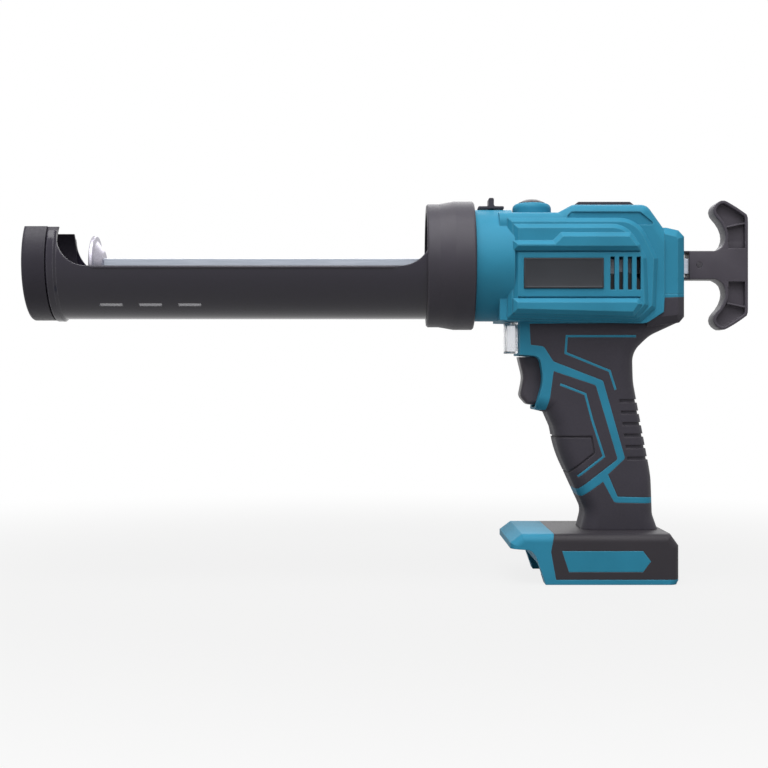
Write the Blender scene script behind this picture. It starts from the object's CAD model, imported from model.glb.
"""Looks of a pistol-grip cordless caulking tool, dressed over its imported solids."""

import logging
import math
from contextlib import contextmanager
from dataclasses import dataclass
from enum import Enum
from itertools import product
from typing import Callable, Iterator

import bpy
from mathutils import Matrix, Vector


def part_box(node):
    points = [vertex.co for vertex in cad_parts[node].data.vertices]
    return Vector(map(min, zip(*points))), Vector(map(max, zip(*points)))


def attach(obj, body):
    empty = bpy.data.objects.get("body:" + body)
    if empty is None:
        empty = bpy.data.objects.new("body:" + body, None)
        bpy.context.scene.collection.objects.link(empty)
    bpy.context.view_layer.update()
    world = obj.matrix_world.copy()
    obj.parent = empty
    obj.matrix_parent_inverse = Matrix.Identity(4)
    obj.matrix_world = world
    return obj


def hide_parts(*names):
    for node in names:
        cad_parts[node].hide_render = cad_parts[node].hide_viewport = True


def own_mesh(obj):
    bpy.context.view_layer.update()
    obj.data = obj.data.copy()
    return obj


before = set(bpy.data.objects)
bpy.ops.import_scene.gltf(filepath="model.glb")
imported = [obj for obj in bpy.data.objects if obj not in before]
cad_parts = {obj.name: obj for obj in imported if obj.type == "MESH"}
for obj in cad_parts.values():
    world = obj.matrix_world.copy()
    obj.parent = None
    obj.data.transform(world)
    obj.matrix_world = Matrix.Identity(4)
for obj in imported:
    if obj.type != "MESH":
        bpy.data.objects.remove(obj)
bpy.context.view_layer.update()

LOG = logging.getLogger("caulking_tool")
MM = 0.001
# Edges shorter than this are pinched to a point, in metres.
PINCH = 0.002 * MM
# What is nearer than this to a place counts as being there, in metres.
NEAR = 0.1 * MM
# Share of a normal along an axis from which a face counts as looking that way.
FACING = 0.9
# Both ways along an axis.
WAYS = (1.0, -1.0)
QUARTER_TURN = math.radians(90.0)
FULL_TURN = math.radians(360.0)
# Edges that turn by more than this get a bevel.
BEVEL_ANGLE = math.radians(40.0)
# Edges that turn by less than this are shaded smooth.
SMOOTH_ANGLE = math.radians(35.0)
# Scale at which one band of a wave texture is one unit wide.
WAVE_TURN = 2 * math.pi / 20
# Sockets of a Mix node for colours: its first colour, its second colour and its result.
FIRST, SECOND, MIXED = 6, 7, 2
# Noise values between which a roughness goes from one end of its range to the other.
NOISE_SPAN = {"From Min": 0.3, "From Max": 0.7}


class Grain(Enum):
    """Direction in which a tool left its marks on metal."""

    ALONG_X = (0.04, 1.0, 1.0)
    ALONG_Y = (1.0, 0.04, 1.0)
    EVEN = (1.0, 1.0, 1.0)


class Element(Enum):
    """Kind of mesh element that is picked, with the edit mode's switches for it."""

    POINT = (True, False, False)
    FACE = (False, False, True)


def linear(code: str, gain: float = 1.0) -> tuple[float, float, float, float]:
    """Turn an sRGB hex colour into linear light.

    Args:
        code: colour such as "#337c99".
        gain: factor on the linear light, for a lighter or darker tone.

    Returns:
        Red, green, blue and alpha, as the shader's sockets take them.
    """
    channels = [int(code[place:place + 2], 16) / 255 for place in (1, 3, 5)]
    light = [c / 12.92 if c <= 0.04045 else ((c + 0.055) / 1.055) ** 2.4 for c in channels]
    return tuple(min(value * gain, 1.0) for value in light) + (1.0,)


def per_metre(size_mm: float) -> float:
    """Give the texture scale at which one feature is size_mm wide."""
    return 1.0 / (size_mm * MM)


def add_node(tree: bpy.types.NodeTree, kind: str, settings: dict, links: dict) -> bpy.types.Node:
    """Add one shader node with its settings and incoming links.

    Args:
        tree: node tree of the material or world.
        kind: node type without its prefix, such as "TexNoise".
        settings: property name, input name or input index, and its value.
        links: input name or index, and the pair of node and output that feeds it.

    Returns:
        The new node.
    """
    node = tree.nodes.new("ShaderNode" + kind)
    for key, value in settings.items():
        if isinstance(key, str) and key in node.bl_rna.properties:
            setattr(node, key, value)
        else:
            node.inputs[key].default_value = value
    for key, (source, output) in links.items():
        tree.links.new(source.outputs[output], node.inputs[key])
    return node


@dataclass(frozen=True)
class Finish:
    """Base of all finishes: a named material made once and shared.

    Attributes:
        label: name of the material.
    """

    label: str

    def material(self) -> bpy.types.Material:
        """Make the finish's material at its first use.

        Returns:
            The material, the same one each time.
        """
        made = bpy.data.materials.get(self.label)
        if made is None:
            made = bpy.data.materials.new(self.label)
            made.use_nodes = True
            made.node_tree.nodes.clear()
            surface = self.shade(made.node_tree)
            add_node(made.node_tree, "OutputMaterial", {}, {"Surface": (surface, 0)})
        return made

    def shade(self, tree: bpy.types.NodeTree) -> bpy.types.Node:
        """Build the nodes of the surface and give the last one."""
        raise NotImplementedError

    def soft_edges(self, tree: bpy.types.NodeTree, width_mm: float) -> tuple[bpy.types.Node, bpy.types.Node]:
        """Round the edges to the eye and find where they are.

        Args:
            tree: node tree of the material.
            width_mm: radius of the edge.

        Returns:
            The node of the rounded normal, and the node whose value is 1 on edges and 0 on faces.
        """
        rounded = add_node(tree, "Bevel", {"samples": 4, "Radius": width_mm * MM}, {})
        flat = add_node(tree, "NewGeometry", {}, {})
        match = add_node(tree, "VectorMath", {"operation": "DOT_PRODUCT"},
                         {0: (rounded, "Normal"), 1: (flat, "Normal")})
        edge = add_node(tree, "MapRange", {"From Min": 0.995, "From Max": 0.86},
                        {"Value": (match, "Value")})
        return rounded, edge


@dataclass(frozen=True)
class MouldedPlastic(Finish):
    """Injection-moulded plastic with a spark-eroded grain.

    Attributes:
        colour: main colour.
        edge: colour where hands have rubbed the edges.
        roughness: middle of the roughness range.
        grain_mm: width of one grain.
        grain_depth_mm: height of the grain.
        cloud_mm: size of the faint shade clouds that moulding leaves.
        cloud: share by which the clouds lighten and darken.
        edge_mm: radius that the mould gives the edges.
        sheen: soft bloom of a rubbery surface.
        specular: strength of the surface reflection.
        spread: how far the roughness goes up and down from its middle.
    """

    colour: str
    edge: str
    roughness: float = 0.42
    grain_mm: float = 0.9
    grain_depth_mm: float = 0.03
    cloud_mm: float = 26.0
    cloud: float = 0.06
    edge_mm: float = 0.7
    sheen: float = 0.0
    specular: float = 0.2
    spread: float = 0.07

    def shade(self, tree: bpy.types.NodeTree) -> bpy.types.Node:
        """Build the plastic's nodes.

        Args:
            tree: node tree of the material.

        Returns:
            The plastic's shader.
        """
        place = add_node(tree, "TexCoord", {}, {})
        # Real spark grain is about 0.1 mm; it is drawn coarser so that it shows in the picture.
        grain = add_node(tree, "TexNoise",
                         {"Scale": per_metre(self.grain_mm), "Detail": 3.0, "Roughness": 0.6},
                         {"Vector": (place, "Object")})
        cloud = add_node(tree, "TexNoise", {"Scale": per_metre(self.cloud_mm), "Detail": 2.0},
                         {"Vector": (place, "Object")})
        rounded, edge = self.soft_edges(tree, self.edge_mm)
        drift = add_node(tree, "MapRange", {"From Min": 0.35, "From Max": 0.65},
                         {"Value": (cloud, "Fac")})
        body = add_node(tree, "Mix",
                        {"data_type": "RGBA", FIRST: linear(self.colour, 1.0 - self.cloud),
                         SECOND: linear(self.colour, 1.0 + self.cloud)},
                        {0: (drift, "Result")})
        rub = add_node(tree, "Math", {"operation": "MULTIPLY"},
                       {0: (edge, "Result"), 1: (grain, "Fac")})
        worn = add_node(tree, "Mix", {"data_type": "RGBA", SECOND: linear(self.edge)},
                        {0: (rub, "Value"), FIRST: (body, MIXED)})
        rough = add_node(tree, "MapRange",
                         {**NOISE_SPAN, "To Min": self.roughness - self.spread,
                          "To Max": self.roughness + self.spread},
                         {"Value": (grain, "Fac")})
        bump = add_node(tree, "Bump", {"Strength": 0.6, "Distance": self.grain_depth_mm * MM},
                        {"Height": (grain, "Fac"), "Normal": (rounded, "Normal")})
        return add_node(tree, "BsdfPrincipled",
                        {"IOR": 1.53, "Specular IOR Level": self.specular, "Sheen Weight": self.sheen,
                         "Sheen Roughness": 0.5},
                        {"Base Color": (worn, MIXED), "Roughness": (rough, "Result"),
                         "Normal": (bump, "Normal")})


@dataclass(frozen=True)
class PowderCoat(Finish):
    """Baked powder coat on sheet steel: a closed film with a faint orange peel.

    Attributes:
        colour: colour of the film.
        edge: colour where a cartridge has rubbed the edges bright.
        roughness: roughness of the film.
        peel_mm: width of one dimple of the orange peel.
        peel_depth_mm: depth of the dimples.
        edge_mm: radius of the sheet's edges.
        specular: strength of the film's reflection.
        scuff_mm: width of the scuffs that cartridges leave.
        polish: how much smoother the film is between the scuffs.
        dulling: how much rougher it is in them.
    """

    colour: str
    edge: str
    roughness: float = 0.15
    peel_mm: float = 1.6
    peel_depth_mm: float = 0.015
    edge_mm: float = 0.8
    specular: float = 0.37
    scuff_mm: float = 2.2
    polish: float = 0.02
    dulling: float = 0.03

    def shade(self, tree: bpy.types.NodeTree) -> bpy.types.Node:
        """Build the coat's nodes.

        Args:
            tree: node tree of the material.

        Returns:
            The coat's shader.
        """
        place = add_node(tree, "TexCoord", {}, {})
        peel = add_node(tree, "TexNoise", {"Scale": per_metre(self.peel_mm), "Detail": 1.5},
                        {"Vector": (place, "Object")})
        # Long faint scuffs from cartridges that slide along the cradle.
        lane = add_node(tree, "Mapping", {"Scale": Grain.ALONG_X.value},
                        {"Vector": (place, "Object")})
        scuff = add_node(tree, "TexNoise", {"Scale": per_metre(self.scuff_mm), "Detail": 4.0},
                         {"Vector": (lane, "Vector")})
        rounded, edge = self.soft_edges(tree, self.edge_mm)
        chip = add_node(tree, "Math", {"operation": "MULTIPLY"},
                        {0: (edge, "Result"), 1: (scuff, "Fac")})
        film = add_node(tree, "Mix",
                        {"data_type": "RGBA", FIRST: linear(self.colour), SECOND: linear(self.edge)},
                        {0: (chip, "Value")})
        rough = add_node(tree, "MapRange",
                         {"From Min": 0.4, "From Max": 0.7, "To Min": self.roughness - self.polish,
                          "To Max": self.roughness + self.dulling},
                         {"Value": (scuff, "Fac")})
        bump = add_node(tree, "Bump", {"Strength": 0.5, "Distance": self.peel_depth_mm * MM},
                        {"Height": (peel, "Fac"), "Normal": (rounded, "Normal")})
        return add_node(tree, "BsdfPrincipled", {"IOR": 1.5, "Specular IOR Level": self.specular},
                        {"Base Color": (film, MIXED), "Roughness": (rough, "Result"),
                         "Normal": (bump, "Normal")})


@dataclass(frozen=True)
class WorkedMetal(Finish):
    """Bare metal with the marks of the tool that made it.

    Attributes:
        colour: reflected colour of the metal.
        shade_colour: colour of the marks and of the oil in them.
        roughness: middle of the roughness range.
        grain: direction of the marks.
        mark_mm: width of one mark.
        mark_depth_mm: depth of the marks.
        edge_mm: radius of the edges.
        edge_gain: how much lighter the edges are.
        spread: how far the roughness goes up and down from its middle.
    """

    colour: str
    shade_colour: str
    roughness: float = 0.35
    grain: Grain = Grain.EVEN
    mark_mm: float = 0.6
    mark_depth_mm: float = 0.01
    edge_mm: float = 0.3
    edge_gain: float = 1.15
    spread: float = 0.05

    def shade(self, tree: bpy.types.NodeTree) -> bpy.types.Node:
        """Build the metal's nodes.

        Args:
            tree: node tree of the material.

        Returns:
            The metal's shader.
        """
        place = add_node(tree, "TexCoord", {}, {})
        lane = add_node(tree, "Mapping", {"Scale": self.grain.value}, {"Vector": (place, "Object")})
        # Real marks are about 0.1 mm apart; they are drawn wider so that they show in the picture.
        mark = add_node(tree, "TexNoise",
                        {"Scale": per_metre(self.mark_mm), "Detail": 3.0, "Roughness": 0.55},
                        {"Vector": (lane, "Vector")})
        rounded, edge = self.soft_edges(tree, self.edge_mm)
        drift = add_node(tree, "MapRange", {"From Min": 0.4, "From Max": 0.62},
                         {"Value": (mark, "Fac")})
        face = add_node(tree, "Mix",
                        {"data_type": "RGBA", FIRST: linear(self.shade_colour), SECOND: linear(self.colour)},
                        {0: (drift, "Result")})
        bright = add_node(tree, "Mix",
                          {"data_type": "RGBA", SECOND: linear(self.colour, self.edge_gain)},
                          {0: (edge, "Result"), FIRST: (face, MIXED)})
        rough = add_node(tree, "MapRange",
                         {**NOISE_SPAN, "To Min": self.roughness + self.spread,
                          "To Max": self.roughness - self.spread},
                         {"Value": (mark, "Fac")})
        bump = add_node(tree, "Bump", {"Strength": 0.5, "Distance": self.mark_depth_mm * MM},
                        {"Height": (mark, "Fac"), "Normal": (rounded, "Normal")})
        return add_node(tree, "BsdfPrincipled", {"Metallic": 1.0},
                        {"Base Color": (bright, MIXED), "Roughness": (rough, "Result"),
                         "Normal": (bump, "Normal")})


@dataclass(frozen=True)
class FrostedLens(Finish):
    """Moulded polycarbonate lens with a light frost that spreads the lamp's beam.

    Attributes:
        colour: colour of the plastic.
        frost_mm: width of one dimple of the frost.
        frost_depth_mm: depth of the dimples.
    """

    colour: str
    frost_mm: float = 0.8
    frost_depth_mm: float = 0.02

    def shade(self, tree: bpy.types.NodeTree) -> bpy.types.Node:
        """Build the lens's nodes.

        Args:
            tree: node tree of the material.

        Returns:
            The lens's shader.
        """
        place = add_node(tree, "TexCoord", {}, {})
        frost = add_node(tree, "TexNoise", {"Scale": per_metre(self.frost_mm), "Detail": 2.0},
                         {"Vector": (place, "Object")})
        rough = add_node(tree, "MapRange", {**NOISE_SPAN, "To Min": 0.06, "To Max": 0.14},
                         {"Value": (frost, "Fac")})
        bump = add_node(tree, "Bump", {"Strength": 0.3, "Distance": self.frost_depth_mm * MM},
                        {"Height": (frost, "Fac")})
        return add_node(tree, "BsdfPrincipled",
                        {"IOR": 1.586, "Transmission Weight": 0.93, "Base Color": linear(self.colour)},
                        {"Roughness": (rough, "Result"), "Normal": (bump, "Normal")})


@dataclass(frozen=True)
class BoardLaminate(Finish):
    """Glass-fibre circuit board: solder mask over copper tracks, which show as lighter lanes.

    Attributes:
        mask: colour of the solder mask on bare laminate.
        track: colour of the mask over copper.
        pitch_mm: distance from track to track.
        copper_mm: height of the tracks, drawn higher than the real 0.035 mm.
        bare: share of the pitch, from the middle of a cell, that is bare laminate.
    """

    mask: str
    track: str
    pitch_mm: float = 2.5
    copper_mm: float = 0.04
    bare: float = 0.34

    def shade(self, tree: bpy.types.NodeTree) -> bpy.types.Node:
        """Build the board's nodes.

        Args:
            tree: node tree of the material.

        Returns:
            The board's shader.
        """
        place = add_node(tree, "TexCoord", {}, {})
        cells = add_node(tree, "TexVoronoi",
                         {"distance": "CHEBYCHEV", "Scale": per_metre(self.pitch_mm), "Randomness": 0.6},
                         {"Vector": (place, "Object")})
        copper = add_node(tree, "Math", {"operation": "GREATER_THAN", 1: self.bare},
                          {0: (cells, "Distance")})
        mask = add_node(tree, "Mix",
                        {"data_type": "RGBA", FIRST: linear(self.mask), SECOND: linear(self.track)},
                        {0: (copper, "Value")})
        bump = add_node(tree, "Bump", {"Strength": 0.4, "Distance": self.copper_mm * MM},
                        {"Height": (copper, "Value")})
        return add_node(tree, "BsdfPrincipled", {"IOR": 1.55, "Roughness": 0.28},
                        {"Base Color": (mask, MIXED), "Normal": (bump, "Normal")})


@dataclass(frozen=True)
class StackedCore(Finish):
    """Rotor of stacked steel sheets: fine lines round the axis, dulled by varnish.

    Attributes:
        sheet: colour of the sheet edges.
        gap: colour of the varnish between them.
        sheet_mm: thickness of one sheet.
        gap_depth_mm: depth of the gaps between the sheets.
    """

    sheet: str
    gap: str
    sheet_mm: float = 1.0
    gap_depth_mm: float = 0.1

    def shade(self, tree: bpy.types.NodeTree) -> bpy.types.Node:
        """Build the core's nodes.

        Args:
            tree: node tree of the material.

        Returns:
            The core's shader.
        """
        place = add_node(tree, "TexCoord", {}, {})
        # Real sheets are 0.5 mm thick; they are drawn at twice that so that they show.
        lines = add_node(tree, "TexWave",
                         {"wave_type": "BANDS", "bands_direction": "Y",
                          "Scale": per_metre(self.sheet_mm) * WAVE_TURN, "Distortion": 0.0},
                         {"Vector": (place, "Object")})
        tone = add_node(tree, "Mix",
                        {"data_type": "RGBA", FIRST: linear(self.gap), SECOND: linear(self.sheet)},
                        {0: (lines, "Fac")})
        bump = add_node(tree, "Bump", {"Strength": 0.5, "Distance": self.gap_depth_mm * MM},
                        {"Height": (lines, "Fac")})
        return add_node(tree, "BsdfPrincipled", {"Metallic": 0.7, "Roughness": 0.5},
                        {"Base Color": (tone, MIXED), "Normal": (bump, "Normal")})


# Moulded ABS of the shell: even blue-green, matt, faintly lighter where it is handled.
TEAL_ABS = MouldedPlastic("moulded_teal_abs", "#3288a7", "#62abc5", roughness=0.55, specular=0.14)
# The same ABS in the foot's inlays, from a smoother mould: a little deeper and less matt.
TEAL_FOOT_ABS = MouldedPlastic("moulded_foot_teal_abs", "#2b84a2", "#5aa4bd", roughness=0.42)
# Overmoulded thermoplastic elastomer: softer, blooms slightly and keeps no gloss.
GRIP_ELASTOMER = MouldedPlastic("overmoulded_grip_elastomer", "#34313a", "#57535a", roughness=0.66,
                                grain_mm=1.1, grain_depth_mm=0.05, sheen=0.08, specular=0.3, edge_mm=0.9)
# Glass-filled nylon of parts that take load: dark, satin, slightly cloudy from the fibres.
DARK_NYLON = MouldedPlastic("moulded_dark_nylon", "#403d45", "#605d64", roughness=0.45, cloud=0.09)
# The same nylon where hands pull: a shade lighter and smoother.
HANDLE_NYLON = MouldedPlastic("moulded_handle_nylon", "#4a464e", "#6a676e", roughness=0.42, cloud=0.09)
# The same nylon with more carbon black: almost black, satin.
CAP_NYLON = MouldedPlastic("moulded_cap_nylon", "#302d36", "#4c4950", roughness=0.4, cloud=0.09)
# Moulded ABS with a fine satin face: a smooth dark field with a soft gleam.
PLATE_ABS = MouldedPlastic("satin_plate_abs", "#35373c", "#56585e", roughness=0.36, grain_mm=1.4, edge_mm=0.4)
# Moulded ABS of the foot's covers: plain, dark and matt.
FOOT_ABS = MouldedPlastic("moulded_foot_dark_abs", "#322f34", "#54515a", roughness=0.5)
# Moulded nylon inside the shell: black and matt.
INNER_NYLON = MouldedPlastic("moulded_inner_nylon", "#1d1d20", "#3a3a3f", roughness=0.5)
# Powder-coated sheet steel: near black, with a closed gloss and edges rubbed grey.
HOLDER_COAT = PowderCoat("powder_coated_sheet_steel", "#2a2633", "#7a7780")
# Milled rack steel: cool grey with a film of oil in the milling marks along the rod.
RACK_STEEL = WorkedMetal("milled_rack_steel", "#b0b6c1", "#a3aab5", roughness=0.36, grain=Grain.ALONG_X,
                         mark_depth_mm=0.004)
# Black-oxidised steel: almost as dark as the nylon round it, with a dull gleam.
PIN_OXIDE = WorkedMetal("black_oxide_pin_steel", "#4d4b50", "#39373b", roughness=0.5)
# Turned aluminium: pale and even, softened by the fine marks of the lathe.
PISTON_ALUMINIUM = WorkedMetal("turned_bright_aluminium", "#b6b3bd", "#a09da8", roughness=0.42)
# Die-cast alloy: pale grey with the coarse, dull skin that the die leaves.
HUB_ALLOY = WorkedMetal("die_cast_alloy", "#b9bbbe", "#9a9ca0", roughness=0.5, mark_mm=1.4,
                        mark_depth_mm=0.04)
# Sintered bronze: warm brown, speckled by pores that hold oil.
BUSH_BRONZE = WorkedMetal("sintered_bronze", "#c69a5e", "#8d6b3e", roughness=0.45, mark_mm=0.5)
# Hobbed and hardened steel: grey, with bright streaks along the teeth.
GEAR_STEEL = WorkedMetal("hobbed_hardened_steel", "#b3b5b9", "#808288", roughness=0.32, grain=Grain.ALONG_Y)
# Drawn and blackened sheet steel: dark, with faint streaks from the press.
MOTOR_STEEL = WorkedMetal("drawn_blackened_steel", "#505156", "#414247", roughness=0.34, grain=Grain.ALONG_Y)
# Plated brass: yellow and bright, streaked the way a battery slides on.
CONTACT_BRASS = WorkedMetal("plated_contact_brass", "#d8bb78", "#b89a58", roughness=0.26, grain=Grain.ALONG_X)
# Drawn spring wire: smooth, pale and bright.
SPRING_STEEL = WorkedMetal("drawn_spring_wire", "#c0c2c6", "#94969b", roughness=0.28)
# Zinc-plated steel: dull grey with a soft gleam.
SCREW_ZINC = WorkedMetal("zinc_plated_screw_steel", "#77787c", "#55565a", roughness=0.36)
# Stacked and varnished sheet steel: brown-grey with fine dark lines.
ROTOR_CORE = StackedCore("stacked_rotor_core", "#6f6a66", "#3a3633")
# Glass-fibre laminate under solder mask: glossy green, lighter over the copper.
BOARD_GREEN = BoardLaminate("green_board_laminate", "#1c5a37", "#2f8250")
# Moulded polycarbonate: almost clear, with a light frost that blurs what is behind it.
LENS_CLEAR = FrostedLens("frosted_polycarbonate", "#f6f7fa")
# Vacuum-metallised plastic: a bright mirror with a slight waviness.
LAMP_MIRROR = WorkedMetal("metallised_mirror_plastic", "#e8e9ec", "#d2d3d8", roughness=0.16, mark_mm=2.0)
# Cast silicone gel with yellow phosphor over the light chip: soft yellow with a moist gleam.
EMITTER_GEL = MouldedPlastic("cast_phosphor_gel", "#e0c860", "#ead88a", roughness=0.3, grain_mm=0.5,
                             edge_mm=0.2)


def dress(finish: Finish, *names: str) -> None:
    """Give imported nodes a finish.

    Args:
        finish: the finish they take.
        names: names of the nodes.
    """
    for name in names:
        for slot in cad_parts[name].material_slots:
            slot.material = finish.material()
        LOG.info("dressed %s in %s", name, finish.label)


def both_sides(name: str) -> tuple[str, str]:
    """Give the left and the right node of a mirrored pair."""
    return "left_" + name, "right_" + name


def choose(*pieces: bpy.types.Object) -> None:
    """Select only these pieces and make the first of them active.

    Args:
        pieces: the pieces; without any, nothing stays selected.
    """
    bpy.ops.object.select_all(action="DESELECT")
    for piece in pieces:
        piece.select_set(True)
    if pieces:
        bpy.context.view_layer.objects.active = pieces[0]


def settle(piece: bpy.types.Object, name: str) -> bpy.types.Object:
    """Name a selected piece and put its place, turn and scale into its mesh.

    Args:
        piece: the piece, selected alone.
        name: its name.

    Returns:
        The same piece, at the origin.
    """
    piece.name = name
    piece.data.name = name
    bpy.ops.object.transform_apply(location=True, rotation=True, scale=True)
    return piece


def start_block(name: str, low: Vector, high: Vector) -> bpy.types.Object:
    """Add a block between two corners as the start of a piece.

    Args:
        name: name of the piece.
        low: lowest corner, in metres.
        high: highest corner, in metres.

    Returns:
        The new object, with its place in its mesh.
    """
    choose()
    bpy.ops.mesh.primitive_cube_add(size=1.0, location=(low + high) / 2)
    piece = bpy.context.active_object
    piece.scale = high - low
    return settle(piece, name)


def start_round(name: str, radius: float, length: float, centre: Vector, turn: tuple[float, float, float],
                sides: int) -> bpy.types.Object:
    """Add a cylinder as the start of a piece.

    Args:
        name: name of the piece.
        radius: radius in metres.
        length: length in metres.
        centre: middle of the cylinder.
        turn: turn of its axis away from upright.
        sides: number of its side faces.

    Returns:
        The new object, with its place in its mesh.
    """
    choose()
    bpy.ops.mesh.primitive_cylinder_add(vertices=sides, radius=radius, depth=length, location=centre,
                                        rotation=turn)
    return settle(bpy.context.active_object, name)


@contextmanager
def picked(piece: bpy.types.Object, kind: Element, test: Callable[..., bool]) -> Iterator[None]:
    """Open a piece in edit mode, with the points or faces selected that pass a test.

    Args:
        piece: the piece.
        kind: what is picked.
        test: says whether a point or a face is taken.

    Yields:
        Nothing; edit mode ends with the block.
    """
    choose(piece)
    mesh = piece.data
    for part in (mesh.vertices, mesh.edges, mesh.polygons):
        part.foreach_set("select", [False] * len(part))
    for element in mesh.polygons if kind is Element.FACE else mesh.vertices:
        element.select = test(element)
    bpy.context.tool_settings.mesh_select_mode = kind.value
    bpy.ops.object.mode_set(mode="EDIT")
    yield
    bpy.ops.object.mode_set(mode="OBJECT")


def whole(face: bpy.types.MeshPolygon) -> bool:
    """Take every face."""
    return True


def inset(width: float) -> None:
    """Set a smaller face into the selected faces, by a width in mm."""
    bpy.ops.mesh.inset(thickness=width * MM, depth=0.0)


def extrude(x: float, y: float, z: float) -> None:
    """Extrude the selected faces by a step in mm."""
    bpy.ops.mesh.extrude_region_move(TRANSFORM_OT_translate={"value": (x * MM, y * MM, z * MM)})


def push(piece: bpy.types.Object, test: Callable[..., bool], step: tuple[float, float, float],
         rim: float = 0.0, shares: tuple[float, float, float] | None = None) -> None:
    """Push the faces of a piece that pass a test in or out.

    Args:
        piece: the piece.
        test: says whether a face is taken.
        step: way of the faces, in mm.
        rim: width of the rim that stays behind round them, in mm.
        shares: shares of their size that are left where they end.
    """
    with picked(piece, Element.FACE, test):
        if rim:
            inset(rim)
        extrude(*step)
        if shares:
            bpy.ops.transform.resize(value=shares)


def soften(piece: bpy.types.Object, width: float) -> None:
    """Round a piece's sharp edges with an applied bevel.

    Args:
        piece: the piece.
        width: width of the bevel in mm.
    """
    bevel = piece.modifiers.new("soft_edges", "BEVEL")
    bevel.width = width * MM
    bevel.segments = 3
    bevel.limit_method = "ANGLE"
    bevel.angle_limit = BEVEL_ANGLE
    choose(piece)
    bpy.ops.object.modifier_apply(modifier=bevel.name)
    # Where two bevels meet, they pinch faces down to nothing; those are taken out.
    with picked(piece, Element.FACE, whole):
        bpy.ops.mesh.dissolve_degenerate(threshold=PINCH)


def carve(piece: bpy.types.Object, cutter: bpy.types.Object) -> None:
    """Cut one piece out of another and take the cutter away.

    Args:
        piece: the piece that is cut.
        cutter: the form that is cut out of it.
    """
    cut = piece.modifiers.new("carve", "BOOLEAN")
    cut.operation = "DIFFERENCE"
    cut.object = cutter
    choose(piece)
    bpy.ops.object.modifier_apply(modifier=cut.name)
    choose(cutter)
    bpy.ops.object.delete()


def copy_to(piece: bpy.types.Object, step: Vector) -> bpy.types.Object:
    """Copy a piece with a mesh of its own and shift the copy.

    Args:
        piece: the piece that is repeated.
        step: way from the piece to its copy, in metres.

    Returns:
        The copy.
    """
    choose(piece)
    bpy.ops.object.duplicate(linked=False)
    twin = bpy.context.active_object
    twin.location = step
    bpy.ops.object.transform_apply(location=True, rotation=True, scale=True)
    return twin


def join_pieces(pieces: list[bpy.types.Object]) -> bpy.types.Object:
    """Join pieces into the first of them.

    Args:
        pieces: the pieces.

    Returns:
        The first piece, which now holds them all.
    """
    choose(*pieces)
    bpy.ops.object.join()
    return pieces[0]


def fit(piece: bpy.types.Object, finish: Finish, body: str, slot: str, *nodes: str) -> None:
    """Smooth a finished piece, dress it and put it on its body.

    Args:
        piece: the finished piece.
        finish: its finish.
        body: body that it moves with.
        slot: slot of the record that its finish belongs to.
        nodes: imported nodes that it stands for.
    """
    choose(piece)
    bpy.ops.object.shade_smooth_by_angle(angle=SMOOTH_ANGLE)
    piece.data.materials.append(finish.material())
    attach(piece, body)
    if nodes:
        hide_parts(*nodes)
    LOG.info("built %s on %s", piece.name, body)


class Assembly:
    """Base of the sub-assemblies."""

    def build(self) -> None:
        """Add pieces of its own; an assembly without any adds none."""

    def dress(self) -> None:
        """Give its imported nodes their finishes."""
        raise NotImplementedError


@dataclass
class Barrel(Assembly):
    """Half pipe that holds the cartridge, with its front cap and its collar.

    Attributes:
        bead_front: front end of the beads along the long edges of the sheet, in mm.
        bead_rear: rear end of the beads.
        bead_radius: radius of the beads.
        bead_side: axis of the beads from the middle of the tool.
        bead_height: height of their axis.
        bead_taper: length of their tapered ends.
        bead_tip: share of the radius that is left at the tips.
        bead_round: rounding of the tips' edges.
        bead_sides: number of side faces of a bead.
    """

    bead_front: float = -172.0
    bead_rear: float = -18.0
    bead_radius: float = 0.8
    bead_side: float = 28.2
    bead_height: float = -2.8
    bead_taper: float = 3.0
    bead_tip: float = 0.2
    bead_round: float = 0.2
    bead_sides: int = 16

    def build(self) -> None:
        """Add the beads that stiffen the long edges of the sheet."""
        middle = (self.bead_front + self.bead_rear) / 2
        centre = Vector((middle, -self.bead_side, self.bead_height)) * MM
        length = (self.bead_rear - self.bead_front) * MM
        bead = start_round("holder_edge_beads", self.bead_radius * MM, length, centre,
                           (0.0, QUARTER_TURN, 0.0), self.bead_sides)
        for way in WAYS:
            push(bead, lambda face: face.normal.x * way > FACING, (self.bead_taper * way, 0.0, 0.0),
                 shares=(1.0, self.bead_tip, self.bead_tip))
        soften(bead, self.bead_round)
        twin = copy_to(bead, Vector((0.0, 2 * self.bead_side * MM, 0.0)))
        fit(join_pieces([bead, twin]), HOLDER_COAT, "barrel", "holder_paint")

    def dress(self) -> None:
        """Give the barrel its coat and its plastics."""
        dress(HOLDER_COAT, "cartridge_holder")
        dress(CAP_NYLON, "front_cap")
        dress(DARK_NYLON, "barrel_collar")


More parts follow.
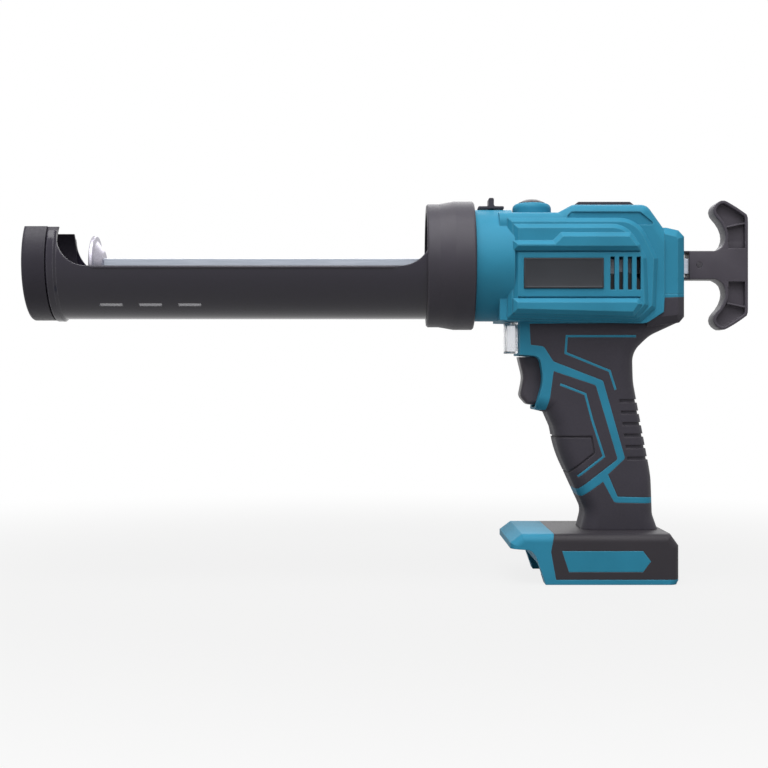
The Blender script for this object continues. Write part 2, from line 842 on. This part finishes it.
@dataclass
class Plunger(Assembly):
    """Toothed push rod with its piston in front and its pull handle behind.

    Attributes:
        wing: height, front and rear of the handle's wing, slice by slice from the stem to the tip, in mm.
        wing_round: rounding of the handle's edges.
        pocket_slice: slice at which the pocket in a wing begins.
        pocket_rim: width of the rim round a pocket.
        pocket_floor: half thickness of the web between two pockets.
        pocket_foot: height at which the pocket ends beside the stem.
        foot_overlap: how far the pocket's lower part reaches into its upper part.
        foot_inset: how far its sides stay inside those of the upper part.
        foot_step: how far its floor stays above that of the upper part.
        rib_front: front end of the rib that crosses a pocket.
        rib_rear: rear end of that rib.
        rib_height: height of its front end.
        rib_rise: climb to its rear end.
        rib_half: half its thickness.
        rib_root: how deep it stands in the web.
        rib_drop: how far its top lies below the handle's side.
        rib_round: rounding of its edges.
        socket_gap: play round the rod and the pin in the handle.
        pin_sides: number of side faces of the pin's hole.
        cutter_reach: how far a cutter stands out of the handle.
        lip_length: how far the two lips stand out of the handle's front.
        lip_half: half their width.
        lip_outer: their outer face from the rod's axis.
        lip_thickness: their thickness.
        lip_tip: length of their tapered tips.
        lip_tip_shares: shares of the width and of the thickness that are left at the tips.
        lip_round: rounding of their edges.
    """

    wing: tuple[tuple[float, float, float], ...] = (
        (7.5, 153.2, 170.6), (8.2, 154.7, 170.6), (9.2, 156.3, 170.6), (10.6, 157.6, 170.6),
        (13.2, 158.5, 170.6), (15.2, 158.7, 170.6), (17.7, 158.3, 170.6), (20.4, 157.3, 170.6),
        (23.0, 155.7, 170.6), (25.2, 153.8, 170.5), (26.9, 152.6, 169.9), (29.0, 152.1, 167.0),
        (30.9, 152.5, 164.2), (32.4, 153.6, 161.7), (33.6, 155.1, 159.6), (34.2, 156.4, 158.2))
    wing_round: float = 0.5
    pocket_slice: int = 3
    pocket_rim: float = 1.6
    pocket_floor: float = 2.6
    pocket_foot: float = 8.8
    foot_overlap: float = 0.8
    foot_inset: float = 0.05
    foot_step: float = 0.02
    rib_front: float = 159.4
    rib_rear: float = 169.8
    rib_height: float = 20.2
    rib_rise: float = 2.2
    rib_half: float = 0.45
    rib_root: float = 0.2
    rib_drop: float = 0.9
    rib_round: float = 0.15
    socket_gap: float = 0.1
    pin_sides: int = 32
    cutter_reach: float = 1.0
    lip_length: float = 2.8
    lip_half: float = 5.4
    lip_outer: float = 7.6
    lip_thickness: float = 1.2
    lip_tip: float = 0.3
    lip_tip_shares: tuple[float, float] = (0.8, 0.6)
    lip_round: float = 0.25

    def build(self) -> None:
        """Add the pull handle and its two lips."""
        self.build_handle()
        self.build_lips()

    def build_handle(self) -> None:
        """Model the pull handle: a stem with two curved wings, pocketed on both sides."""
        low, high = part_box("pull_handle")
        base, fork, rear = (value * MM for value in self.wing[0])
        handle = start_block("pocketed_pull_handle", Vector((low.x, low.y, -base)),
                             Vector((rear, high.y, base)))
        with picked(handle, Element.FACE, whole):
            bpy.ops.mesh.bisect(plane_co=(fork, 0.0, 0.0), plane_no=(1.0, 0.0, 0.0))
        self.raise_wings(handle)
        self.sink_pockets(handle, high.y / MM)
        soften(handle, self.wing_round)
        self.lengthen_pockets(handle, high.y / MM)
        self.bore(handle, low.x / MM, high.y / MM)
        ribs = [self.rib(way, side, high.y / MM) for way, side in product(WAYS, WAYS)]
        fit(join_pieces([handle] + ribs), HANDLE_NYLON, "plunger", "handle_plastic", "pull_handle")

    def raise_wings(self, handle: bpy.types.Object) -> None:
        """Extrude the two wings out of the stem, slice by slice.

        Args:
            handle: the handle.
        """
        base, fork = (value * MM for value in self.wing[0][:2])
        for way in WAYS:
            with picked(handle, Element.FACE,
                        lambda face: face.center.x > fork and abs(face.center.z * way - base) < NEAR):
                for before, after in zip(self.wing, self.wing[1:]):
                    extrude(0.0, 0.0, (after[0] - before[0]) * way)
                    length = (after[2] - after[1]) / (before[2] - before[1])
                    bpy.ops.transform.resize(value=(length, 1.0, 1.0))
                    shift = (sum(after[1:]) - sum(before[1:])) / 2 * MM
                    bpy.ops.transform.translate(value=(shift, 0.0, 0.0))

    def sink_pockets(self, handle: bpy.types.Object, half: float) -> None:
        """Sink the pockets of both wings on both sides.

        Args:
            handle: the handle.
            half: half its width, in mm.
        """
        start = self.wing[self.pocket_slice][0] * MM
        for way, side in product(WAYS, WAYS):
            push(handle, lambda face: face.normal.y * side > FACING and face.center.z * way > start,
                 (0.0, (self.pocket_floor - half) * side, 0.0), rim=self.pocket_rim)

    def lengthen_pockets(self, handle: bpy.types.Object, half: float) -> None:
        """Cut the pockets of both wings on both sides down to the stem.

        Args:
            handle: the handle.
            half: half its width, in mm.
        """
        start, _, rear = self.wing[self.pocket_slice]
        front = self.wing[self.pocket_slice + 1][1]
        margin = self.pocket_rim + self.foot_inset
        top = start + self.pocket_rim + self.foot_overlap
        for way, side in product(WAYS, WAYS):
            reach = sorted(((self.pocket_floor + self.foot_step) * side, (half + self.cutter_reach) * side))
            level = sorted((self.pocket_foot * way, top * way))
            low = Vector((front + margin, reach[0], level[0])) * MM
            high = Vector((rear - margin, reach[1], level[1])) * MM
            carve(handle, start_block("pocket_cutter", low, high))

    def bore(self, handle: bpy.types.Object, front: float, half: float) -> None:
        """Cut the socket for the rod and the hole for the pin.

        Args:
            handle: the handle.
            front: its front face, in mm.
            half: half its width, in mm.
        """
        play = Vector((self.socket_gap, self.socket_gap, self.socket_gap)) * MM
        rod_low, rod_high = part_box("push_rod")
        rod_low.x = (front - self.cutter_reach) * MM
        carve(handle, start_block("rod_cutter", rod_low - play, rod_high + play))
        pin_low, pin_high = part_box("handle_pin")
        radius = (pin_high.x - pin_low.x) / 2 + play.x
        length = 2 * (half + self.cutter_reach) * MM
        carve(handle, start_round("pin_cutter", radius, length, (pin_low + pin_high) / 2,
                                  (QUARTER_TURN, 0.0, 0.0), self.pin_sides))

    def rib(self, way: float, side: float, half: float) -> bpy.types.Object:
        """Model the rib that crosses one pocket.

        Args:
            way: 1 for the upper wing, -1 for the lower one.
            side: 1 for the right side, -1 for the left one.
            half: half width of the handle, in mm.

        Returns:
            The rib, climbing away from the stem to the rear.
        """
        reach = sorted(((self.pocket_floor - self.rib_root) * side, (half - self.rib_drop) * side))
        level = sorted(((self.rib_height - self.rib_half) * way, (self.rib_height + self.rib_half) * way))
        rib = start_block("handle_rib", Vector((self.rib_front, reach[0], level[0])) * MM,
                          Vector((self.rib_rear, reach[1], level[1])) * MM)
        with picked(rib, Element.FACE, lambda face: face.normal.x > FACING):
            bpy.ops.transform.translate(value=(0.0, 0.0, self.rib_rise * way * MM))
        soften(rib, self.rib_round)
        return rib

    def build_lips(self) -> None:
        """Add the two lips that guide the rod into the handle's socket."""
        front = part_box("pull_handle")[0].x / MM
        low = Vector((front - self.lip_length, -self.lip_half, self.lip_outer - self.lip_thickness)) * MM
        high = Vector((front + self.lip_thickness, self.lip_half, self.lip_outer)) * MM
        upper = start_block("handle_lips", low, high)
        push(upper, lambda face: face.normal.x < -FACING, (-self.lip_tip, 0.0, 0.0),
             shares=(1.0, *self.lip_tip_shares))
        soften(upper, self.lip_round)
        drop = Vector((0.0, 0.0, self.lip_thickness - 2 * self.lip_outer)) * MM
        fit(join_pieces([upper, copy_to(upper, drop)]), CAP_NYLON, "plunger", "handle_plastic")

    def dress(self) -> None:
        """Give the rod, the piston and the pin their metals."""
        dress(RACK_STEEL, "push_rod", "piston_nut")
        dress(PIN_OXIDE, "handle_pin")
        dress(PISTON_ALUMINIUM, "piston")


@dataclass
class Housing(Assembly):
    """Two moulded halves with their cover, plate, pad and screws.

    Attributes:
        plate_frame: width of the raised edge round the bare plate, in mm.
        plate_sink: depth of the plate's field below its edge.
        plate_shares: shares of the field's length and height that are left at its foot.
        plate_round: rounding of the plate's edges.
        screw_places: axes of the screws in the side view.
        screw_sides: number of side faces of a screw.
        head_radius: radius of the screw heads.
        head_height: height of the heads.
        head_seat: underside of the heads from the middle of the tool.
        shank_radius: radius of the shanks.
        shank_end: length of the shanks beyond the middle.
        socket_radius: points of the star socket from the axis.
        socket_depth: depth of the socket.
        socket_waist: share of the socket's radius that is left between its points.
        star_step: side faces of the screw from one point of the star to the next.
    """

    plate_frame: float = 0.9
    plate_sink: float = 0.25
    plate_shares: tuple[float, float] = (0.996, 0.99)
    plate_round: float = 0.22
    screw_places: tuple[tuple[float, float], ...] = (
        (71.5, 21.0), (114.2, 13.0), (117.2, -14.0), (61.4, -37.0),
        (103.0, -77.0), (97.0, -129.0), (118.9, -148.0), (65.8, -148.0))
    screw_sides: int = 24
    head_radius: float = 3.0
    head_height: float = 2.4
    head_seat: float = 12.0
    shank_radius: float = 1.5
    shank_end: float = 9.0
    socket_radius: float = 1.7
    socket_depth: float = 1.4
    socket_waist: float = 0.72
    star_step: int = 4

    def build(self) -> None:
        """Add the bare side plate and the screws."""
        self.build_plate()
        self.build_screws()

    def build_plate(self) -> None:
        """Model the bare plate: a block with soft edges and a field set slightly back."""
        plate = start_block("bare_side_plate", *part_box("left_side_plate"))
        push(plate, lambda face: face.normal.y < -FACING, (0.0, self.plate_sink, 0.0), rim=self.plate_frame,
             shares=(self.plate_shares[0], 1.0, self.plate_shares[1]))
        soften(plate, self.plate_round)
        fit(plate, PLATE_ABS, "housing", "plate", "left_side_plate")

    def build_screws(self) -> None:
        """Model one screw with a star socket and repeat it at every place."""
        first_x, first_z = self.screw_places[0]
        centre = Vector((first_x, self.head_seat + self.head_height / 2, first_z)) * MM
        crown = Vector((first_x, self.head_seat + self.head_height, first_z)) * MM
        screw = start_round("housing_screw_set", self.head_radius * MM, self.head_height * MM, centre,
                            (-QUARTER_TURN, 0.0, 0.0), self.screw_sides)
        push(screw, lambda face: face.normal.y < -FACING, (0.0, -self.head_seat - self.shank_end, 0.0),
             rim=self.head_radius - self.shank_radius)

        def on_crown(face: bpy.types.MeshPolygon) -> bool:
            """Tell whether a face lies in the middle of the head's top."""
            return face.normal.y > FACING and (face.center - crown).length < NEAR

        def in_waist(point: bpy.types.MeshVertex) -> bool:
            """Tell whether a point of the socket lies between two points of the star.

            Args:
                point: a point of the screw.

            Returns:
                True for such a point on the head's top.
            """
            x, y, z = point.co - crown
            step = round(math.atan2(z, x) / (FULL_TURN / self.screw_sides))
            inner = math.hypot(x, z) < self.socket_radius * MM + NEAR
            return y > -NEAR and inner and step % self.star_step < self.star_step // 2

        with picked(screw, Element.FACE, on_crown):
            inset(self.head_radius - self.socket_radius)
        with picked(screw, Element.POINT, in_waist):
            bpy.ops.transform.resize(value=(self.socket_waist, 1.0, self.socket_waist))
        push(screw, on_crown, (0.0, -self.socket_depth, 0.0))
        copies = [copy_to(screw, Vector((x - first_x, 0.0, z - first_z)) * MM)
                  for x, z in self.screw_places[1:]]
        fit(join_pieces([screw] + copies), SCREW_ZINC, "housing", "screw_steel", "housing_screws")

    def dress(self) -> None:
        """Give the shell and what is fixed to it their finishes."""
        dress(TEAL_ABS, *both_sides("housing"), "rear_cover")
        dress(GRIP_ELASTOMER, "top_pad")
        dress(BUSH_BRONZE, "rear_rod_bush")


@dataclass
class Grip(Assembly):
    """Soft panels that lie flush in the grip."""

    def dress(self) -> None:
        """Give the panels their soft finish."""
        for part in ("grip_back", "grip_front", "grip_base"):
            dress(GRIP_ELASTOMER, *both_sides(part))


@dataclass
class Foot(Assembly):
    """Covers and inlays of the battery foot, and the contacts in it."""

    def dress(self) -> None:
        """Give the foot its finishes."""
        dress(FOOT_ABS, *both_sides("foot_cover"))
        dress(TEAL_FOOT_ABS, *both_sides("foot_inlay"))
        dress(INNER_NYLON, "terminal_block")
        dress(CONTACT_BRASS, "terminal_blades")


@dataclass
class Controls(Assembly):
    """Trigger, release button, barrel lock and lamp.

    Attributes:
        lens_sides: number of side faces of the full round of the lens.
        lens_wall: wall of the hollow lens, in mm.
        lens_hollow: share of the lens's depth that is hollow.
        lens_floor: share of the hollow's width that is left at its floor.
        lens_round: rounding of the lens's edges.
        mirror_gap: gap between the lamp's mirror and the lens's wall.
        mirror_back: thickness of the mirror behind its bowl.
        mirror_frame: flat edge round the bowl.
        mirror_depth: depth of the bowl.
        mirror_floor: share of the bowl's size that is left at its floor.
        mirror_round: rounding of the mirror's edges.
        emitter_half: half the side of the emitter.
        emitter_height: its height above the mirror.
        emitter_rim: width of the step round its dome.
        emitter_top: share of the dome's size that is left at its top.
        emitter_round: rounding of its edges.
        spring_wire: radius of the springs' wire.
        wire_sides: number of side faces round the wire.
        turn_steps: sections of the wire in one turn.
        button_turns: turns of the spring under the release button.
        button_travel: way of the release button.
        trigger_turns: turns of the spring behind the trigger.
        trigger_travel: way of the trigger.
    """

    lens_sides: int = 48
    lens_wall: float = 1.2
    lens_hollow: float = 0.72
    lens_floor: float = 0.55
    lens_round: float = 0.35
    mirror_gap: float = 0.3
    mirror_back: float = 0.5
    mirror_frame: float = 0.8
    mirror_depth: float = 0.7
    mirror_floor: float = 0.6
    mirror_round: float = 0.15
    emitter_half: float = 1.7
    emitter_height: float = 1.1
    emitter_rim: float = 0.3
    emitter_top: float = 0.6
    emitter_round: float = 0.2
    spring_wire: float = 0.5
    wire_sides: int = 10
    turn_steps: int = 20
    button_turns: int = 5
    button_travel: float = 2.5
    trigger_turns: int = 4
    trigger_travel: float = 6.0

    def build(self) -> None:
        """Add the hollow lens with the mirror and the emitter in it, and the two springs."""
        self.build_lens()
        self.build_mirror()
        self.build_emitter()
        self.build_button_spring()
        self.build_trigger_spring()

    def build_lens(self) -> None:
        """Model the lens: a half-round cover, open to the lamp behind it."""
        low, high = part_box("lamp_lens")
        centre = Vector((high.x, 0.0, (low.z + high.z) / 2))
        lens = start_round("hollow_lamp_lens", high.x - low.x, high.z - low.z, centre, (0.0, 0.0, 0.0),
                           self.lens_sides)
        with picked(lens, Element.FACE, whole):
            bpy.ops.mesh.bisect(plane_co=centre, plane_no=(1.0, 0.0, 0.0), use_fill=True, clear_outer=True)
        depth = (high.x - low.x) / MM * self.lens_hollow
        push(lens, lambda face: face.normal.x > FACING, (-depth, 0.0, 0.0), rim=self.lens_wall,
             shares=(1.0, self.lens_floor, 1.0))
        soften(lens, self.lens_round)
        fit(lens, LENS_CLEAR, "housing", "lens", "lamp_lens")

    def build_mirror(self) -> None:
        """Model the lamp's mirror: a shallow bright bowl just before the board."""
        low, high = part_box("lamp_lens")
        gap = (self.lens_wall + self.mirror_gap) * MM
        depth = (self.mirror_depth + self.mirror_back) * MM
        mirror = start_block("lamp_mirror", Vector((high.x - depth, low.y + gap, low.z + gap)),
                             Vector((high.x, high.y - gap, high.z - gap)))
        push(mirror, lambda face: face.normal.x < -FACING, (self.mirror_depth, 0.0, 0.0),
             rim=self.mirror_frame, shares=(1.0, self.mirror_floor, self.mirror_floor))
        soften(mirror, self.mirror_round)
        fit(mirror, LAMP_MIRROR, "housing", "lens")

    def build_emitter(self) -> None:
        """Model the light emitter: a small block with a domed yellow top."""
        low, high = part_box("lamp_lens")
        middle = (low.z + high.z) / 2
        half = self.emitter_half * MM
        back = high.x - self.mirror_back * MM
        dome = self.emitter_height / 2
        emitter = start_block("lamp_emitter", Vector((back - dome * MM, -half, middle - half)),
                              Vector((back, half, middle + half)))
        push(emitter, lambda face: face.normal.x < -FACING, (-dome, 0.0, 0.0), rim=self.emitter_rim,
             shares=(1.0, self.emitter_top, self.emitter_top))
        soften(emitter, self.emitter_round)
        fit(emitter, EMITTER_GEL, "housing", "lens")

    def coil(self, name: str, radius: float, length: float, turns: int) -> bpy.types.Object:
        """Wind one spring round the vertical axis, standing on the origin.

        Args:
            name: name of the spring.
            radius: outer radius of the coil, in metres.
            length: length of the spring, in metres.
            turns: number of turns.

        Returns:
            The wound spring with closed ends.
        """
        wire = self.spring_wire * MM
        choose()
        bpy.ops.mesh.primitive_circle_add(vertices=self.wire_sides, radius=wire,
                                          location=(radius - wire, 0.0, wire),
                                          rotation=(QUARTER_TURN, 0.0, 0.0))
        spring = settle(bpy.context.active_object, name)
        wind = spring.modifiers.new("wind", "SCREW")
        wind.angle = FULL_TURN * turns
        wind.screw_offset = length - 2 * wire
        wind.steps = wind.render_steps = self.turn_steps * turns
        bpy.ops.object.modifier_apply(modifier=wind.name)
        with picked(spring, Element.FACE, whole):
            bpy.ops.mesh.fill_holes(sides=0)
            bpy.ops.mesh.select_all(action="SELECT")
            bpy.ops.mesh.normals_make_consistent(inside=False)
        return spring

    def build_button_spring(self) -> None:
        """Wind the spring under the release button, which gives way as the button goes down."""
        low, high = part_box("release_spring")
        length = high.z - low.z
        spring = self.coil("release_button_spring", (high.x - low.x) / 2, length, self.button_turns)
        seat = Vector(((low.x + high.x) / 2, (low.y + high.y) / 2, low.z))
        spring.location = seat
        settle(spring, spring.name)
        fit(spring, SPRING_STEEL, "housing", "spring_steel", "release_spring")
        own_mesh(spring)

    def build_trigger_spring(self) -> None:
        """Wind the spring behind the trigger, which gives way as the trigger is pulled."""
        low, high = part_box("trigger_spring")
        length = high.x - low.x
        spring = self.coil("trigger_return_spring", (high.z - low.z) / 2, length, self.trigger_turns)
        spring.rotation_euler = (0.0, QUARTER_TURN, 0.0)
        spring.location = (low.x, (low.y + high.y) / 2, (low.z + high.z) / 2)
        settle(spring, spring.name)
        fit(spring, SPRING_STEEL, "housing", "spring_steel", "trigger_spring")
        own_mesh(spring)

    def dress(self) -> None:
        """Give the controls and the lamp's board their finishes."""
        dress(DARK_NYLON, "barrel_lock")
        dress(HANDLE_NYLON, "trigger")
        dress(CAP_NYLON, "release_button")
        dress(GEAR_STEEL, "spring_seat")
        dress(BOARD_GREEN, "lamp_board")


@dataclass
class Drive(Assembly):
    """Gears, motor and electrics inside the shell."""

    def dress(self) -> None:
        """Give the inner works their finishes."""
        dress(HUB_ALLOY, "nose_hub", "gearbox_cover")
        dress(BUSH_BRONZE, "front_rod_bush", "pinion_bearings")
        dress(GEAR_STEEL, "gear_frame", "pinion_shaft", "rack_pinion", "drive_gear", "output_gear",
              "sun_gear", "planet_carrier", "planet_gear_1", "planet_gear_2", "planet_gear_3", "ring_gear")
        dress(MOTOR_STEEL, "motor_can")
        dress(ROTOR_CORE, "rotor")
        dress(INNER_NYLON, "motor_end_cap", "switch_module")
        dress(BOARD_GREEN, "control_board")


@dataclass(frozen=True)
class SoftLamp:
    """One large square lamp that looks at the tool.

    Attributes:
        name: name of the lamp.
        place: where it stands, in metres.
        side: side of its face.
        power: watts.
    """

    name: str
    place: tuple[float, float, float]
    side: float
    power: float


@dataclass
class Studio:
    """Camera at the photograph's place, soft lamps, pale floor and white surroundings, in metres.

    Attributes:
        eye: place of the camera.
        focal_px: focal length in pixels of the picture.
        picture_px: width of the picture in pixels.
        sensor_mm: width of the camera's sensor.
        nearest: distance from which the camera sees.
        floor: height on which the foot stands.
        floor_half: half the side of the floor.
        paper: colour of the floor as it lights and takes shadow.
        glow: share of white that the eye sees of the floor near the tool.
        fade_start: distance at which the floor begins to fade to white.
        fade_end: distance at which it is white.
        sky: light of the surroundings on the object.
        target: point that the lamps look at.
        lamps: the lamps.
    """

    eye: tuple[float, float, float] = (-0.0225, -0.770, -0.0631)
    focal_px: float = 1440.0
    picture_px: float = 768.0
    sensor_mm: float = 36.0
    nearest: float = 0.01
    floor: float = -0.1655
    floor_half: float = 4.0
    paper: str = "#8f8e8d"
    glow: float = 0.84
    fade_start: float = 0.25
    fade_end: float = 0.65
    sky: float = 0.2
    target: tuple[float, float, float] = (0.0, 0.0, -0.05)
    lamps: tuple[SoftLamp, ...] = (
        SoftLamp("key_lamp", (-0.25, -0.4, 1.35), 1.1, 20.0),
        SoftLamp("front_lamp", (0.15, -1.3, 1.15), 1.2, 15.0),
        SoftLamp("rear_lamp", (0.2, 1.3, 0.9), 1.0, 7.0))

    def camera(self) -> None:
        """Add the camera, level and square to the tool's side."""
        lens = bpy.data.cameras.new("photo_camera")
        lens.sensor_width = self.sensor_mm
        lens.lens = self.focal_px / self.picture_px * lens.sensor_width
        lens.clip_start = self.nearest
        stand = bpy.data.objects.new("photo_camera", lens)
        stand.location = self.eye
        stand.rotation_euler = (QUARTER_TURN, 0.0, 0.0)
        bpy.context.scene.collection.objects.link(stand)
        bpy.context.scene.camera = stand

    def hang(self, lamp: SoftLamp) -> None:
        """Hang up one lamp and turn it to the tool.

        Args:
            lamp: the lamp.
        """
        light = bpy.data.lights.new(lamp.name, "AREA")
        light.size = lamp.side
        light.energy = lamp.power
        stand = bpy.data.objects.new(lamp.name, light)
        stand.location = lamp.place
        aim = Vector(self.target) - Vector(lamp.place)
        stand.rotation_euler = aim.to_track_quat("-Z", "Y").to_euler()
        bpy.context.scene.collection.objects.link(stand)

    def seen_rays(self, tree: bpy.types.NodeTree) -> tuple[bpy.types.Node, str]:
        """Tell the rays that show the background from those that light the tool.

        Args:
            tree: node tree of the floor or of the surroundings.

        Returns:
            The node and the output that are 1 for the camera, for gloss and for clear pieces, else 0.
        """
        path = add_node(tree, "LightPath", {}, {})
        clear = add_node(tree, "Math", {"operation": "MAXIMUM"},
                         {0: (path, "Is Camera Ray"), 1: (path, "Is Transmission Ray")})
        seen = add_node(tree, "Math", {"operation": "MAXIMUM"},
                        {0: (clear, "Value"), 1: (path, "Is Glossy Ray")})
        return seen, "Value"

    def surroundings(self) -> None:
        """Make the surroundings white to the eye and in reflections, and plain as light."""
        world = bpy.data.worlds.new("studio_white")
        world.use_nodes = True
        tree = world.node_tree
        tree.nodes.clear()
        level = add_node(tree, "MapRange", {"To Min": self.sky, "To Max": 1.0},
                         {"Value": self.seen_rays(tree)})
        white = add_node(tree, "Background", {"Color": linear("#ffffff")},
                         {"Strength": (level, "Result")})
        add_node(tree, "OutputWorld", {}, {"Surface": (white, 0)})
        bpy.context.scene.world = world

    def ground(self) -> None:
        """Lay the pale floor, which keeps the shadow near the tool and fades to white far from it."""
        half = self.floor_half
        mesh = bpy.data.meshes.new("studio_floor")
        corners = ((-half, -half), (half, -half), (half, half), (-half, half))
        mesh.from_pydata([(x, y, self.floor) for x, y in corners], [], [(0, 1, 2, 3)])
        ground = bpy.data.objects.new("studio_floor", mesh)
        bpy.context.scene.collection.objects.link(ground)
        paper = bpy.data.materials.new("pale_studio_paper")
        paper.use_nodes = True
        tree = paper.node_tree
        tree.nodes.clear()
        place = add_node(tree, "TexCoord", {}, {})
        far = add_node(tree, "VectorMath", {"operation": "LENGTH"}, {0: (place, "Object")})
        fade = add_node(tree, "MapRange",
                        {"interpolation_type": "SMOOTHSTEP", "From Min": self.fade_start,
                         "From Max": self.fade_end, "To Min": self.glow, "To Max": 1.0},
                        {"Value": (far, "Value")})
        glow_share = add_node(tree, "Math", {"operation": "MULTIPLY"},
                              {0: (fade, "Result"), 1: self.seen_rays(tree)})
        matt = add_node(tree, "BsdfDiffuse", {"Color": linear(self.paper)}, {})
        glow = add_node(tree, "Emission", {"Color": linear("#ffffff"), "Strength": 1.0}, {})
        both = add_node(tree, "MixShader", {}, {0: (glow_share, "Value"), 1: (matt, 0), 2: (glow, 0)})
        add_node(tree, "OutputMaterial", {}, {"Surface": (both, 0)})
        mesh.materials.append(paper)

    def build(self) -> None:
        """Set up the whole studio."""
        bpy.context.scene.view_settings.view_transform = "Standard"
        self.camera()
        self.surroundings()
        self.ground()
        for lamp in self.lamps:
            self.hang(lamp)


def main() -> None:
    """Dress the tool, assembly by assembly, and set up the studio."""
    logging.basicConfig(level=logging.INFO, format="%(message)s")
    for assembly in (Barrel(), Plunger(), Housing(), Grip(), Foot(), Controls(), Drive()):
        assembly.build()
        assembly.dress()
    Studio().build()


if __name__ == "__main__":
    main()
